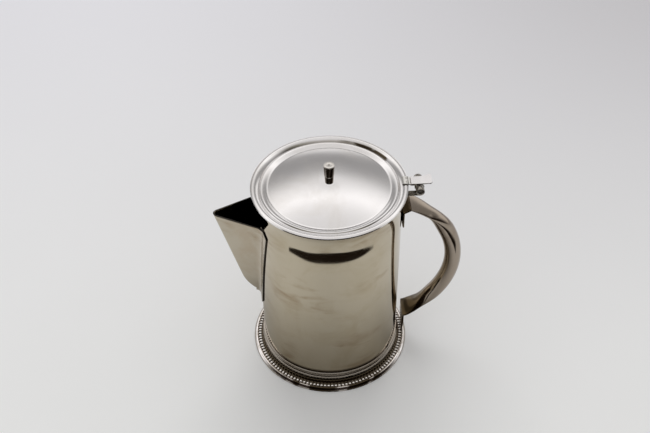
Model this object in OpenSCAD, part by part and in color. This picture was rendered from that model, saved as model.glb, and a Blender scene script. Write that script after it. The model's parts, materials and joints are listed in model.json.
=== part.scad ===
// Beverage server: a cylindrical steel pot with a folded V spout, a hollow C handle with
// flattened ends, a fluted foot ring and a hinged lid with a thumb lever and a turned knob.
// The pot's axis is Z, the table is z = 0, the handle points along +X and the spout along -X.

/* [Pot] */
// Outer radius of the cylindrical wall
body_r = 52.4; // [46:0.2:60]
// Height of the rim above the table
rim_z = 157.7; // [150:0.1:170]
// Thickness of the wall sheet
wall = 0.9; // [0.7:0.1:1.2]
// Height of the flared collar under the rim
collar_h = 21; // [16:1:26]
// How far the collar flares out from the wall
collar_flare = 2; // [1.2:0.2:2.6]
// Radius of the rolled edge of the rim
rim_roll_r = 0.8; // [0.6:0.1:1]
// Height of the bottom disc above the table
base_z = 7; // [5:0.5:10]
// Thickness of the bottom disc
base_t = 1.2; // [0.8:0.1:2]
// Rise of the bottom disc's middle
base_rise = 1; // [0.5:0.1:2]
// Radius of the bottom disc's raised middle
base_rise_r = 31; // [24:1:36]

/* [Foot ring] */
// Height of the top edge of the ring's band
band_top = 13.8; // [12:0.2:16]
// How far the band's rounded face stands out from the wall
band_bulge = 1.5; // [1:0.1:2]
// How far the ring stands out from the wall
foot_spread = 8.6; // [8:0.1:14]
// Radius of the round lip that stands on the table
lip_r = 1.9; // [1.6:0.1:2.2]
// Depth of the flat under the lip, on which the pot stands
foot_flat = 0.3; // [0.2:0.05:0.5]
// Distance between neighbouring flutes
flute_pitch = 2.7; // [2.6:0.1:4]
// Radius of the round groove of each flute
flute_r = 1.1; // [0.9:0.05:1.2]

/* [Spout] */
// Drop of the spout's level pouring edge below the collar
mouth_drop = 0.4; // [0.2:0.1:16]
// Reach of the spout's tip from the wall
spout_reach = 31.4; // [28:0.2:36]
// Lean of the spout's keel from the vertical, in degrees
keel_lean = 15.3; // [12:0.1:18]
// Half of the angle between the two flanks of the fold, in degrees
flank_a = 27.8; // [24:0.2:31]
// Outer radius of the fold along the keel
keel_r = 3.6; // [3:0.1:4.5]
// Radius on which the lower end of the keel turns in to the wall
keel_turn_r = 33; // [32:1:40]
// Length of the straight part of the keel
keel_len = 64.5; // [60:0.5:68]
// Thickness of the spout sheet
spout_t = 0.9; // [0.7:0.1:1.2]
// Width of the weld flange on the wall, at its widest
flange_w = 7.8; // [4:0.2:8]
// Drop of the flange's widest point below the mouth
flange_fall = 4; // [2:0.5:20]
// Radius of the flange's rounded toe
flange_toe_r = 11; // [7:0.5:12]
// Reach of the flange's toe below the straight part of the keel
flange_tail = 28.3; // [26:0.1:36]
// Width of the ledge of wall left inside the spout
ledge_w = 3.5; // [3:0.5:5]
// Drop of the pouring window's top edge below the rim
window_drop = 3.7; // [3.2:0.1:8]
// How much further the window's top reaches to each side than the spout's mouth
window_flare = 11.8; // [9:0.2:13]

/* [Handle] */
// Outer diameter of the handle's tube
tube_d = 12.4; // [10:0.2:14]
// Drop of the handle's upper crease below the rim
handle_drop = 19.7; // [16:0.1:30]
// Height of the handle's lower crease above the table
handle_low_z = 26; // [22:0.5:40]
// Distance of the creases from the wall
crease_off = 6.2; // [5:0.1:9]
// Half of the bow's angle, in degrees
bow_a = 64; // [60:0.5:66]
// Thickness of the tube's flattened ends
flat_t = 1.8; // [1.4:0.1:2.4]
// Length of bow over which the upper end flattens, in degrees
upper_blend_a = 38; // [30:1:44]
// Length of bow over which the lower end flattens, in degrees
lower_blend_a = 27; // [20:1:36]
// Length of the upper tab below the crease
tab_len = 16; // [12:0.5:22]

/* [Lid] */
// Gap all round between the lid's lip and the rim
lid_side_gap = 0.45; // [0.3:0.05:0.8]
// Thickness of the lid sheet
lid_t = 0.8; // [0.6:0.1:1]
// Distance of the dome's edge from the lid's edge
dome_inset = 11.9; // [10.9:0.1:18]
// Rise of the dome
dome_h = 4.6; // [2:0.1:5]
// Distance of the groove between bead and flange from the lid's edge
groove_inset = 6; // [5.6:0.1:7]
// Rise of the groove above the dome's edge
groove_rise = 0.4; // [0:0.1:1]
// Height of the raised bead round the dome
bead_h = 0.9; // [0.5:0.1:1.5]
// Rise of the flange above the dome's edge
flange_h = 2.7; // [2.2:0.1:3]
// Gap between the lid and the rim
lid_gap = 0.3; // [0.2:0.05:0.5]

/* [Hinge] */
// Distance of the hinge axis from the lid's edge
hinge_out = 8; // [7:0.5:12]
// Drop of the hinge axis below the lid's flange
hinge_drop = 4.1; // [4:0.1:5]
// Radius of the hinge pin
pin_r = 1.4; // [1:0.1:1.6]
// Length of the hinge barrel
barrel_len = 17; // [14:0.5:20]
// Length of the lid's knuckle in the middle of the barrel
knuckle_len = 6; // [5:0.5:8]
// Outer radius of the pot's two knuckles
knuckle_r = 3.1; // [2.6:0.1:3.2]
// Outer radius of the lid's knuckle
lid_knuckle_r = 3.5; // [3.2:0.1:3.6]
// Gap between neighbouring knuckles
knuckle_gap = 0.3; // [0.2:0.05:0.5]
// Radial clearance of the lid's knuckle on the pin
pin_clear = 0.06; // [0.02:0.01:0.1]
// Thickness of the hinge sheets
leaf_t = 0.8; // [0.6:0.1:1]
// Height of the pot's hinge leaf on the collar
leaf_h = 9; // [6:0.5:11]
// Reach of the lever's tip past the hinge axis
lever_reach = 8.8; // [7:0.2:16]
// Width of the lever where it meets the lid
lever_root_w = 8.6; // [8:0.2:10]
// Width of the lever's tip
lever_tip_w = 10.6; // [9:0.2:14]

/* [Knob] */
// Diameter of the knob's top
knob_d = 7.8; // [7:0.2:12]
// Diameter of the lower edge of the knob's head
knob_low_d = 6.4; // [6:0.1:9]
// Height of the knob's head
knob_head_h = 9.6; // [8:0.2:14]
// Height of the knob's neck
knob_neck_h = 5.7; // [4:0.1:8]
// Diameter of the knob's neck
knob_neck_d = 5; // [4.4:0.1:6]
// Diameter of the screw that holds the knob
screw_d = 2.5; // [2:0.1:3]

/* [Hidden] */
$fn = 96;
far = 400;

// Collar: an arc that leaves the wall upright and flares to the rim
collar_top = rim_z - rim_roll_r;
collar_z = collar_top - collar_h;
collar_curve_r = (pow(collar_h, 2) + pow(collar_flare, 2)) / (2 * collar_flare);
rim_r = body_r + collar_flare;
wall_low = 2;
base_slope = 7;
base_skirt_low = 3;

// Foot ring
band_low = 5.6;
band_half_h = (band_top - band_low) / 2;
band_curve_r = (pow(band_half_h, 2) + pow(band_bulge, 2)) / (2 * band_bulge);
foot_r = body_r + foot_spread;
lip_x = foot_r - lip_r;
lip_z = lip_r - foot_flat;
ring_t = 1.4;
cove_inset = 1;
flute_in = [body_r + cove_inset, band_low - 0.2];
flute_out = [lip_x - cove_inset, lip_z + 0.5];
flute_n = 2 * round(PI * (flute_in.x + flute_out.x) / 2 / flute_pitch);

// Spout: the keel runs down from the tip, then turns in to the wall
mouth_z = collar_z - mouth_drop;
tip_x = body_r + spout_reach;
keel_foot = [-tip_x + keel_len * sin(keel_lean), mouth_z - keel_len * cos(keel_lean)];
keel_turn_c = keel_foot + keel_turn_r * [cos(keel_lean), sin(keel_lean)];
turn_reach = keel_turn_r - 1;
flank_reach = spout_reach + 12;
fold_over = 20;
plan_tan = tan(flank_a) * cos(keel_lean);
plan_apex = tip_x + keel_r * (1 / sin(flank_a) - 1) / cos(keel_lean);
plan_k = 1 + 1 / pow(plan_tan, 2);
plan_b = plan_apex / plan_tan;
mouth_half_w = (plan_b - sqrt(pow(plan_b, 2) - plan_k * (pow(plan_apex, 2) - pow(body_r, 2)))) / plan_k;
flange_low_z = keel_foot.y - flange_tail;
flange_top_w = 2.4;
window_top = rim_z - window_drop;
window_slant = atan2(window_top - mouth_z, window_flare);
window_corner_r = 3;
window_toe_r = 5;
window_low_z = keel_foot.y - 4;

// Handle: the bow's ends stand off the wall and are creased there
weld_gap = 0.1;
tab_x = body_r + weld_gap;
crease_z = rim_z - handle_drop;
tab_low_z = crease_z - tab_len;
bow_z = (crease_z + handle_low_z) / 2;
bow_r = (crease_z - handle_low_z) / 2 / sin(bow_a);
bow_x = body_r + crease_off - bow_r * cos(bow_a);
flat_w = PI * (tube_d - flat_t) / 2 + flat_t;
bow_step_a = 4;
section_n = 24;
tab_bend = 2.8;
tongue_shoulder = 8;
tongue_tip_w = 9;

// Lid and hinge
seat_r = 5.5;
lid_r = rim_r - wall / 2 + rim_roll_r + lid_side_gap + lid_t;
dome_r = lid_r - dome_inset;
groove_r = lid_r - groove_inset;
lid_lip_h = 1;
flange_arc_a = 132;
lid_z = rim_z + lid_gap + lid_t - lid_face(rim_r);
flange_z = lid_z + flange_h;
hinge_x = lid_r + hinge_out;
hinge_z = flange_z - hinge_drop;
leaf_z = hinge_z - knuckle_r;
strap_z = hinge_z + lid_knuckle_r;
strap_in = lid_r - 4.2;
strap_bend_x = strap_in + 1.2;
strap_edge_x = lid_r - 0.5;
strap_step_x = lid_r + 1.9;
strap_land = 2.5;
strap_seat = 0.02;
lever_x = hinge_x + lever_reach;
lever_t = 0.9;
lever_bend_x = hinge_x + 2;
lever_rise = 1.2;
lever_corner = 1;
weld_pitch = 4;
weld_x = strap_in + 3.4;
weld_r = 0.9;
weld_depth = 0.27;

// Knob
knob_z = lid_z + dome_h;
knob_head_z = knob_z + knob_neck_h;
knob_neck_flare = 0.3;
knob_edge = 0.4;
knob_pit_r = 1.4;
knob_pit_h = 1.1;
washer_r = 5;
washer_t = 0.8;
washer_z = knob_z - lid_t - washer_t;
screw_head_r = 2.4;
screw_head_h = 1.6;
screw_slot_w = 0.6;
screw_slot_h = 0.7;
screw_grip = 7;

// Radius of the collar's outer face at height z
function collar_r(z) = z < collar_z ? body_r
    : body_r + collar_curve_r - sqrt(pow(collar_curve_r, 2) - pow(z - collar_z, 2));

// Points along the wall's outer face, moved inwards by d
function wall_face(d) = concat([[body_r - d, wall_low]],
    [for (i = [0:8]) let (z = collar_z + collar_h * i / 8) [collar_r(z) - d, z]]);

// Height of the lid's upper face above lid_z at radius r: a flat seat for the knob, the dome,
// the bead, and the flange that rises from the groove
function lid_face(r) =
    r < seat_r ? dome_h
    : r < dome_r ? dome_h * (1 - pow((r - seat_r) / (dome_r - seat_r), 2))
    : r < groove_r ? let (t = (r - dome_r) / (groove_r - dome_r))
        groove_rise * t + bead_h * sin(180 * t)
    : groove_rise
        + (flange_h - groove_rise) * sin(flange_arc_a * min(1, (r - groove_r) / (lid_r - groove_r)));

// Radii at which the lid's face is drawn: few on the dome, close together on the bead and flange
lid_radii = concat([0], [for (i = [0:5]) seat_r + (dome_r - seat_r) * i / 6],
    [for (i = [0:9]) dome_r + (groove_r - dome_r) * i / 10],
    [for (i = [0:8]) groove_r + (lid_r - groove_r) * i / 8]);

// Points of a circular arc from angle a0 to angle a1
function arc(c, r, a0, a1, n) =
    [for (i = [0:n]) let (a = a0 + (a1 - a0) * i / n) c + r * [cos(a), sin(a)]];

// Closed outline between two lines that run the same way
function strip(a, b) = concat(a, [for (i = [len(b) - 1:-1:0]) b[i]]);

// Blend from 0 to 1 with level ends
function ease(t) = let (u = max(0, min(1, t))) u * u * (3 - 2 * u);

// Lean at which the keel, drawn d inside its outer face, has reached the wall
function keel_end_a(d) = acos((body_r - wall + keel_turn_c.x) / (keel_turn_r - d));

function mix(a, b, t) = a + (b - a) * t;

// Roundness of the bow at angle a: 0 where the tube is flat, 1 where it is round
function roundness(a) = min(ease((bow_a - a) / upper_blend_a), ease((a + bow_a) / lower_blend_a));

// Height of the flutes' crests at radius r
function crest_z(r) =
    let (run = flute_out - flute_in)
    flute_in.y + run.y * (r - flute_in.x) / run.x + flute_r * norm(run) / run.x;

// Exponent of the bow's section: box-like when flat, lens-like part way, a circle when round
function edge_power(s) = s < 0.4 ? mix(0.5, 1.5, s / 0.4) : mix(1.5, 1, (s - 0.4) / 0.6);

// Section of the handle's strip or tube at a point of its plane, as a ring of points in space:
// out is the unit of thickness there, and s is the roundness
function handle_ring(c, out, s, w = 0) =
    let (half_t = mix(flat_t, tube_d, s) / 2, p = edge_power(s))
    let (half_w = w > 0 ? w / 2 : (PI * (tube_d / 2 - half_t) + 2 * half_t) / 2)
    [for (i = [0:section_n - 1])
        let (q = 360 * i / section_n, t = half_t * sign(sin(q)) * pow(abs(sin(q)), p))
        [c.x + out.x * t, half_w * cos(q), c.y + out.y * t]];

// Point of the bow at angle a
function bow_point(a) = [bow_x, bow_z] + bow_r * [cos(a), sin(a)];

// Unit across the way from a to b, and its mitre at b where the way goes on to c
function across_way(a, b) = let (d = (b - a) / norm(b - a)) [-d.y, d.x];
function mitre(a, b, c) = let (m = across_way(a, b) + across_way(b, c)) 2 * m / (m * m);

// Solid through a list of rings with the same number of points
module loft(rings) {
    n = len(rings[0]);
    m = len(rings);
    sides = [for (j = [0:m - 2]) for (i = [0:n - 1])
        [j * n + i, (j + 1) * n + i, (j + 1) * n + (i + 1) % n, j * n + (i + 1) % n]];
    ends = [[for (i = [0:n - 1]) i], [for (i = [n - 1:-1:0]) (m - 1) * n + i]];
    polyhedron(points = [for (r = rings) for (q = r) q], faces = concat(sides, ends));
}

// Prism across the handle's plane, w wide, from an outline in X and Z
module across(w, outline) {
    translate([0, w / 2, 0]) rotate([90, 0, 0]) linear_extrude(w) polygon(outline);
}

// Everything inside the pot's outer face
module body_envelope() {
    rotate_extrude() polygon(concat([[0, 0], [body_r, 0]], wall_face(0), [[rim_r, far], [0, far]]));
}

// Section of the spout's fold: the nose at x = 0, the flanks opening along +X, drawn d inside
// the outer face
module fold_section(d, reach) {
    r = keel_r - d;
    flank_x = keel_r - r * sin(flank_a);
    half_w = r * cos(flank_a) + (reach - flank_x) * tan(flank_a);
    polygon(concat(arc([keel_r, 0], r, 90 + flank_a, 270 - flank_a, 12),
        [[reach, -half_w], [reach, half_w]]));
}

// The fold as a solid along the whole keel, d inside the outer face
module fold(d) {
    translate([keel_foot.x, 0, keel_foot.y]) rotate([0, -keel_lean, 0])
        linear_extrude(keel_len + fold_over) fold_section(d, flank_reach);
    translate([keel_turn_c.x, 0, keel_turn_c.y]) rotate([90, 0, 0]) rotate([0, 0, 180 + keel_lean])
        rotate_extrude(angle = keel_end_a(d) - keel_lean) translate([keel_turn_r, 0]) mirror([1, 0])
            fold_section(d, turn_reach);
}

// Round toe of an outline that widens upwards to a shoulder on each side
function toe_arc(low_z, r, shoulder) =
    let (c = [0, low_z + r], reach = shoulder - c)
    let (touch_a = atan2(reach.y, reach.x) - acos(r / norm(reach)))
    arc(c, r, touch_a, -180 - touch_a, 12);

// Weld flange: a strip of sheet that hugs the wall all round the fold
module flange() {
    shoulder = [mouth_half_w + flange_w, mouth_z - flange_fall];
    top_w = mouth_half_w + flange_top_w;
    difference() {
        intersection() {
            cylinder(r = body_r + spout_t, h = far);
            rotate([90, 0, -90]) linear_extrude(far)
                polygon(concat(toe_arc(flange_low_z, flange_toe_r, shoulder),
                    [[-shoulder.x, shoulder.y], [-top_w, mouth_z], [top_w, mouth_z], shoulder]));
        }
        cylinder(r = body_r, h = far);
    }
}

module below_mouth() {
    translate([-far, -far / 2, 0]) cube([far, far, mouth_z]);
}

// Opening in the wall: a tapered slot behind the spout, and a wider one above its mouth
module window() {
    slot_w = mouth_half_w - ledge_w;
    corner_z = window_top - window_corner_r;
    corner_y = mouth_half_w + (corner_z - mouth_z) / tan(window_slant)
        - window_corner_r / sin(window_slant);
    right = arc([corner_y, corner_z], window_corner_r, 90, window_slant - 90, 6);
    left = [for (i = [len(right) - 1:-1:0]) [-right[i].x, right[i].y]];
    rotate([90, 0, -90]) translate([0, 0, body_r / 2]) linear_extrude(body_r)
        polygon(concat(toe_arc(window_low_z, window_toe_r, [slot_w, mouth_z]),
            [[-slot_w, mouth_z], [-mouth_half_w, mouth_z]], left, right,
            [[mouth_half_w, mouth_z], [slot_w, mouth_z]]));
}

module body_shell() {
    color([0.62, 0.59, 0.55]) difference() {
        union() {
            rotate_extrude() polygon(strip(wall_face(0), wall_face(wall)));
            translate([0, 0, collar_top]) rotate_extrude() translate([rim_r - wall / 2, 0])
                circle(rim_roll_r, $fn = 24);
        }
        window();
    }
}

module base_disc() {
    edge_r = body_r - wall;
    flat_r = base_rise_r + base_slope;
    top = base_z + base_t;
    color([0.6, 0.58, 0.54]) rotate_extrude()
        polygon([[0, top + base_rise], [base_rise_r, top + base_rise], [flat_r, top], [edge_r, top],
            [edge_r, base_skirt_low], [edge_r - base_t, base_skirt_low], [edge_r - base_t, base_z],
            [flat_r, base_z], [base_rise_r, base_z + base_rise], [0, base_z + base_rise]]);
}

// One flute: a round rib that runs out and down from the band to the lip
module flute() {
    run = flute_out - flute_in;
    translate([flute_in.x, 0, flute_in.y]) rotate([0, 90 + atan2(-run.y, run.x), 0])
        cylinder(r = flute_r, h = norm(run), $fn = 24);
}

module foot_ring() {
    color([0.6, 0.57, 0.53]) {
        rotate_extrude() {
            intersection() {
                translate([body_r + band_bulge - band_curve_r, (band_top + band_low) / 2])
                    circle(band_curve_r);
                translate([body_r, 0]) square([far, band_top]);
            }
            polygon([[body_r, band_low - ring_t], flute_in - [0, ring_t], flute_out - [0, ring_t],
                flute_out, flute_in, [body_r, band_low]]);
            intersection() {
                translate([lip_x, lip_z]) circle(lip_r, $fn = 32);
                square([far, far]);
            }
        }
        for (i = [0:flute_n - 1]) rotate([0, 0, 360 * i / flute_n]) flute();
    }
}

module spout() {
    color([0.6, 0.57, 0.52]) difference() {
        union() {
            difference() {
                intersection() {
                    fold(0);
                    below_mouth();
                }
                cylinder(r = body_r, h = far);
            }
            flange();
        }
        fold(spout_t);
    }
}

// Handle: a tab up the wall, a bend, a crease, the bow, a crease, and a tongue down to the
// foot ring's flutes
module handle() {
    tab_low = [tab_x + flat_t / 2, tab_low_z];
    top = bow_point(bow_a);
    bend = [tab_low.x, top.y - tab_bend];
    foot = bow_point(-bow_a) - [flat_t / 2, 0];
    shoulder = [foot.x, foot.y - tongue_shoulder];
    tip = [foot.x, crest_z(foot.x - flat_t / 2) + weld_gap];
    before_foot = bow_point(bow_step_a - bow_a);
    color([0.45, 0.41, 0.36]) loft(concat(
        [handle_ring(tab_low, across_way(tab_low, bend), 0),
            handle_ring(bend, mitre(tab_low, bend, top), 0),
            handle_ring(top, mitre(bend, top, bow_point(bow_a - bow_step_a)), 0)],
        [for (a = [bow_a - bow_step_a:-bow_step_a:bow_step_a - bow_a])
            handle_ring(bow_point(a), [cos(a), sin(a)], roundness(a))],
        [handle_ring(foot, mitre(before_foot, foot, shoulder), 0),
            handle_ring(shoulder, across_way(foot, shoulder), 0),
            handle_ring(tip, across_way(foot, shoulder), 0, tongue_tip_w)]));
}

// Knuckle of the hinge barrel between y0 and y1
module knuckle(r, y0, y1) {
    translate([hinge_x, y1, hinge_z]) rotate([90, 0, 0]) cylinder(r = r, h = y1 - y0);
}

module pin_bore(r) {
    translate([hinge_x, far / 2, hinge_z]) rotate([90, 0, 0]) cylinder(r = r, h = far, $fn = 48);
}

module hinge_bracket() {
    half = barrel_len / 2;
    slot = knuckle_len / 2 + knuckle_gap;
    color([0.5, 0.47, 0.43]) difference() {
        union() {
            translate([0, -half, leaf_z]) cube([hinge_x, barrel_len, leaf_t]);
            intersection() {
                translate([0, -half, leaf_z + leaf_t - leaf_h]) cube([far, barrel_len, leaf_h]);
                rotate_extrude() polygon(strip(wall_face(0), wall_face(-leaf_t)));
            }
            knuckle(knuckle_r, -half, half);
        }
        body_envelope();
        translate([hinge_x - lid_knuckle_r - knuckle_gap, -slot, 0])
            cube([far, 2 * slot, far]);
        pin_bore(pin_r);
    }
}

module hinge_pin() {
    color([0.35, 0.33, 0.3]) knuckle(pin_r, 1 - barrel_len / 2, barrel_len / 2 - 1);
}

module lid() {
    top = [for (r = lid_radii) [r, lid_z + lid_face(r)]];
    lip_low_z = lid_z + lid_face(lid_r) - lid_lip_h;
    low = [for (q = top) [min(q.x, lid_r - lid_t), q.y - lid_t]];
    color([0.86, 0.86, 0.86]) difference() {
        rotate_extrude()
            polygon(strip(concat(top, [[lid_r, lip_low_z]]), concat(low, [[lid_r - lid_t, lip_low_z]])));
        cylinder(r = screw_d / 2, h = far, $fn = 32);
    }
}

// Sheet strap: a patch welded on the flange, a step over the edge, and the middle knuckle
module lid_strap() {
    w = lever_root_w;
    in_z = lid_z + lid_face(norm([strap_in, w / 2]));
    color([0.85, 0.85, 0.84]) difference() {
        union() {
            across(w, [[strap_in, in_z + strap_seat], [strap_bend_x, flange_z + strap_seat],
                [strap_edge_x, flange_z + strap_seat], [strap_step_x, strap_z - leaf_t],
                [strap_step_x + strap_land, strap_z - leaf_t], [strap_step_x + strap_land, strap_z],
                [strap_step_x, strap_z], [strap_edge_x, flange_z + leaf_t],
                [strap_bend_x, flange_z + leaf_t], [strap_in, in_z + leaf_t]]);
            translate([strap_step_x, -knuckle_len / 2, strap_z - leaf_t])
                cube([hinge_x - strap_step_x, knuckle_len, leaf_t]);
            knuckle(lid_knuckle_r, -knuckle_len / 2, knuckle_len / 2);
        }
        pin_bore(pin_r + pin_clear);
        for (y = [-weld_pitch / 2, weld_pitch / 2])
            translate([weld_x, y, flange_z + leaf_t + weld_r - weld_depth]) sphere(weld_r, $fn = 24);
    }
}

module thumb_lever() {
    tip_z = strap_z + lever_rise;
    root = lever_root_w / 2;
    tip = lever_tip_w / 2;
    color([0.88, 0.88, 0.88]) intersection() {
        across(lever_tip_w, [[strap_step_x, strap_z], [lever_bend_x, strap_z], [lever_x, tip_z],
            [lever_x, tip_z + lever_t], [lever_bend_x, strap_z + lever_t],
            [strap_step_x, strap_z + lever_t]]);
        linear_extrude(far) polygon([[strap_step_x, -root], [lever_bend_x, -root],
            [lever_x - lever_corner, -tip], [lever_x, lever_corner - tip], [lever_x, tip - lever_corner],
            [lever_x - lever_corner, tip], [lever_bend_x, root], [strap_step_x, root]]);
    }
}

module knob() {
    top_z = knob_head_z + knob_head_h;
    color([0.3, 0.27, 0.23]) difference() {
        rotate_extrude() polygon([[0, knob_z], [knob_neck_d / 2, knob_z],
            [knob_neck_d / 2 + knob_neck_flare, knob_head_z], [knob_low_d / 2 - knob_edge, knob_head_z],
            [knob_low_d / 2, knob_head_z + knob_edge], [knob_d / 2, top_z - knob_edge],
            [knob_d / 2 - knob_edge, top_z], [knob_pit_r, top_z], [0, top_z - knob_pit_h]]);
        cylinder(r = screw_d / 2, h = knob_z + screw_grip, $fn = 32);
    }
}

module knob_washer() {
    color([0.7, 0.7, 0.68]) difference() {
        translate([0, 0, washer_z]) cylinder(r = washer_r, h = washer_t);
        cylinder(r = screw_d / 2, h = far, $fn = 32);
    }
}

module knob_screw() {
    head_z = washer_z - screw_head_h;
    color([0.6, 0.6, 0.58]) difference() {
        union() {
            translate([0, 0, head_z]) cylinder(r = screw_head_r, h = screw_head_h);
            translate([0, 0, head_z]) cylinder(r = screw_d / 2, h = knob_z + screw_grip - head_z, $fn = 32);
        }
        translate([-far / 2, -screw_slot_w / 2, 0]) cube([far, screw_slot_w, head_z + screw_slot_h]);
    }
}

body_shell();
base_disc();
foot_ring();
spout();
handle();
hinge_bracket();
hinge_pin();
lid();
lid_strap();
thumb_lever();
knob();
knob_washer();
knob_screw();
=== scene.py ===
import json
import math

import bpy
from mathutils import Matrix, Vector


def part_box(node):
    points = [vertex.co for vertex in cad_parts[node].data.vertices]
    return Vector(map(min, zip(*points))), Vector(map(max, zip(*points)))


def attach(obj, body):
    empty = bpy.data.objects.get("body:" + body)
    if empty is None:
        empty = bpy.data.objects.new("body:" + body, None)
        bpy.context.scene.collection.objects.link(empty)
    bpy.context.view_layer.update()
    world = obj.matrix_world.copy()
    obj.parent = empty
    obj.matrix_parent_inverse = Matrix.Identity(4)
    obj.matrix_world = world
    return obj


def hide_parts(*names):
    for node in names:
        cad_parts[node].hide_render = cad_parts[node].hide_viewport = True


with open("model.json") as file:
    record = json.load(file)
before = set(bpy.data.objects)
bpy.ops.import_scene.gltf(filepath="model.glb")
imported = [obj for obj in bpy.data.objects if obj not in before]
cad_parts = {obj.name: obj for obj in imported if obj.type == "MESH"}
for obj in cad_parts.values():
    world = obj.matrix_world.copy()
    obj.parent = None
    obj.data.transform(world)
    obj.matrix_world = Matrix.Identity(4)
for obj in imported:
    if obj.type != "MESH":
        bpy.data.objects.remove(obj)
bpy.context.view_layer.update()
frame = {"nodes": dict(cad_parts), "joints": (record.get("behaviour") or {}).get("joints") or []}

MM = 0.001

# Sizes of the pot, in metres
BODY_R = 52.4 * MM
WALL = 0.9 * MM
WALL_LOW = 2 * MM
COLLAR_H = 21 * MM
COLLAR_FLARE = 2 * MM
RIM_ROLL_R = 0.8 * MM
RIM_R = BODY_R + COLLAR_FLARE
COLLAR_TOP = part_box("body_shell")[1].z - RIM_ROLL_R
COLLAR_Z = COLLAR_TOP - COLLAR_H
COLLAR_POWER = 2.9

# Foot ring
FOOT_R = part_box("foot_ring")[1].x
BAND_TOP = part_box("foot_ring")[1].z
BAND_LOW = 5.6 * MM
BAND_BULGE = 1.5 * MM
BAND_UPPER_BULGE = 0.93 * MM
BAND_GROOVE = 0.35 * MM
BAND_SPLIT = BAND_LOW + (BAND_TOP - BAND_LOW) * 0.58
LIP_R = 1.9 * MM
LIP_X = FOOT_R - LIP_R
LIP_Z = 1.6 * MM
COVE_INSET = 1 * MM
LIP_TOP = LIP_Z + LIP_R * 0.98
COVE_IN = Vector((BODY_R + COVE_INSET, BAND_LOW - 0.2 * MM))
COVE_DEEP = Vector((BODY_R + 2.2 * MM, 2.4 * MM))
COVE_OUT = Vector((LIP_X - COVE_INSET, LIP_Z + 0.5 * MM))
FLUTES = 130
FLUTE_R = 1.1 * MM

# Spout
MOUTH_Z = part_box("spout")[1].z
TIP_X = -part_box("spout")[0].x
KEEL_LEAN = math.radians(15.3)
FLANK_A = math.radians(27.8)
KEEL_R = 3.6 * MM
KEEL_TURN_R = 33 * MM
KEEL_LEN = 64.5 * MM
SPOUT_T = 0.9 * MM
FLANGE_W = 6.1 * MM
FLANGE_TOP_W = 2.4 * MM
FLANGE_FALL = 4 * MM
FLANGE_TOE_R = 11 * MM
FLANGE_TAIL = 28.3 * MM
FLANGE_BEND = 3.5 * MM
# Width of the flange's outermost strip, which carries a painted shade line
FLANGE_EDGE = 0.3 * MM
LEDGE_W = 3.5 * MM
WINDOW_TOP = 154 * MM
WINDOW_HALF_W = 32 * MM
WINDOW_CORNER_R = 3 * MM
WINDOW_TOE_R = 5 * MM

# Handle
TUBE_D = 12.4 * MM
BOW_R = 62.3 * MM
BOW_A = 64
BOW_Z = 82 * MM
BOW_X = BODY_R + 6.2 * MM - BOW_R * math.cos(math.radians(BOW_A))
FLAT_T = 1.8 * MM
UPPER_BLEND_A = 38
LOWER_BLEND_A = 27
TAB_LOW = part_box("handle")[0].z
TAB_X = BODY_R + 0.1 * MM
TAB_LOW_Z = 122 * MM
TAB_BEND = 2.8 * MM
TONGUE_SHOULDER = 8 * MM
TONGUE_TIP_W = 9 * MM

# Lid
LID_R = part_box("lid")[1].x
LID_T = 0.8 * MM
SEAT_R = 5.5 * MM
DOME_R = LID_R - 11.9 * MM
DOME_H = 4.6 * MM
GROOVE_R = LID_R - 6 * MM
GROOVE_RISE = 0.4 * MM
BEAD_H = 0.9 * MM
BEAD_TOP = 0.72
FLANGE_H = 2.7 * MM
FLANGE_ARC = math.radians(132)
LID_LIP_H = 1 * MM
LID_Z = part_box("knob")[0].z - DOME_H

# Hinge
HINGE = Vector(frame["joints"][0]["pos_m"])
BARREL_LEN = 17 * MM
BARREL_EDGE = 0.25 * MM
BARREL_PIT = 1.2 * MM
KNUCKLE_LEN = 6 * MM
KNUCKLE_R = 3.1 * MM
LID_KNUCKLE_R = 3.5 * MM
KNUCKLE_GAP = 0.3 * MM
PIN_R = 1.4 * MM
LEAF_T = 0.8 * MM
LEAF_H = 9 * MM
STRAP_Z = HINGE.z + LID_KNUCKLE_R
STRAP_IN = LID_R - 4.2 * MM
STRAP_BEND_X = STRAP_IN + 1.2 * MM
STRAP_EDGE_X = LID_R - 0.5 * MM
STRAP_STEP_X = LID_R + 1.9 * MM
STRAP_END_X = STRAP_STEP_X + 2.5 * MM
LEVER_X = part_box("thumb_lever")[1].x
LEVER_BEND_X = HINGE.x + 2 * MM
LEVER_RISE = 1.2 * MM
LEVER_T = 0.9 * MM
LEVER_ROOT_W = 8.6 * MM
LEVER_TIP_W = 10.6 * MM
LEVER_CORNER = 1 * MM
WELD_PITCH = 4 * MM
WELD_X = STRAP_IN + 3.2 * MM
WELD_DOT = ((0.95, -0.1), (0.9, 0.08), (0.7, 0.1), (0.5, -0.02), (0.25, -0.08), (0, -0.1))

# Knob
KNOB_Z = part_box("knob")[0].z
KNOB_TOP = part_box("knob")[1].z
KNOB_D = 7.8 * MM
KNOB_LOW_D = 7 * MM
KNOB_HEAD_H = 9.6 * MM
KNOB_NECK_D = 6 * MM
KNOB_NECK_FLARE = 0.3 * MM
KNOB_EDGE = 0.4 * MM
KNOB_PIT_R = 1.4 * MM
KNOB_PIT_H = 1.1 * MM
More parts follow.
